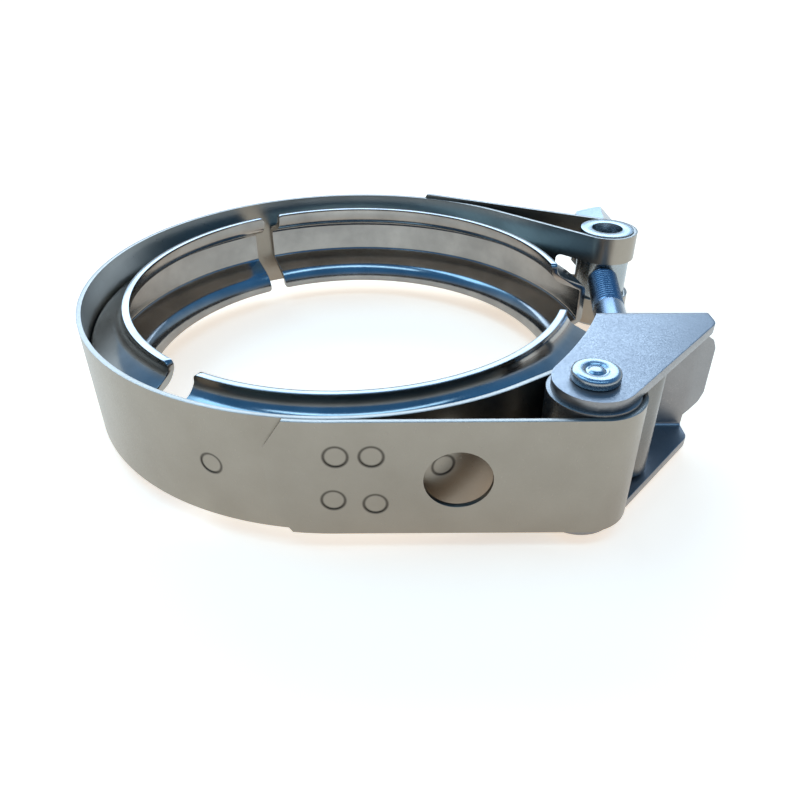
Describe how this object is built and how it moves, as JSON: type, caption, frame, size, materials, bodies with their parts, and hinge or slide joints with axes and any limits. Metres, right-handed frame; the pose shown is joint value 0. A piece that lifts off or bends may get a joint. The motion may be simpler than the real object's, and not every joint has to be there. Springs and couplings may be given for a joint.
{
  "type": "v band clamp",
  "caption": "Round V band clamp for an exhaust joint: folded strip ring with channel segments inside and a quick release hook pulled by a T bolt and long nut.",
  "frame": {"origin": "centre of the ring, half way up the strip", "axes": "+Z along the axis of the pipe joint, +X towards the gap where the latch sits"},
  "size_m": [0.1423, 0.129, 0.034],
  "materials": {
    "strap": "satin cold rolled stainless strip",
    "channel": "satin rolled stainless channel",
    "hook_plate": "tumbled pressed steel, fine grain",
    "pivot": "bright riveted steel",
    "bush": "turned steel",
    "bolt": "bright plated steel",
    "nut": "bright plated steel"
  },
  "bodies": {
    "band": {"band": "strap", "retainer_front": "channel", "retainer_left": "channel", "retainer_rear": "channel"},
    "hook": {"hook": "hook_plate", "pivot_bush": "bush", "pivot_rivet": "pivot"},
    "trunnion": {"trunnion": "pivot"},
    "nut": {"nut": "nut"},
    "t_bolt": {"t_bolt": "bolt"}
  },
  "joints": [
    {"name": "hook_swing", "type": "hinge", "parent": "band", "child": "hook", "pos_m": [0.0462, -0.0526, 0], "axis": [0, 0, 1], "range_deg": [-200, 0]},
    {"name": "trunnion_swivel", "type": "hinge", "parent": "band", "child": "trunnion", "pos_m": [0.0687, 0.0292, 0], "axis": [0, 0, 1], "range_deg": [-1, 4]},
    {"name": "nut_spin", "type": "hinge", "parent": "trunnion", "child": "nut", "pos_m": [0.0687, 0.0292, 0], "axis": [-0.1466, -0.9892, 0], "range_deg": [0, 3024]},
    {"name": "bolt_travel", "type": "slide", "parent": "trunnion", "child": "t_bolt", "axis": [0.1466, 0.9892, 0], "range_m": [0, 0.0105]}
  ],
  "couplings": [
    {"joint": "nut_spin", "follows": "bolt_travel", "rad_per_m": 5026.5}
  ]
}
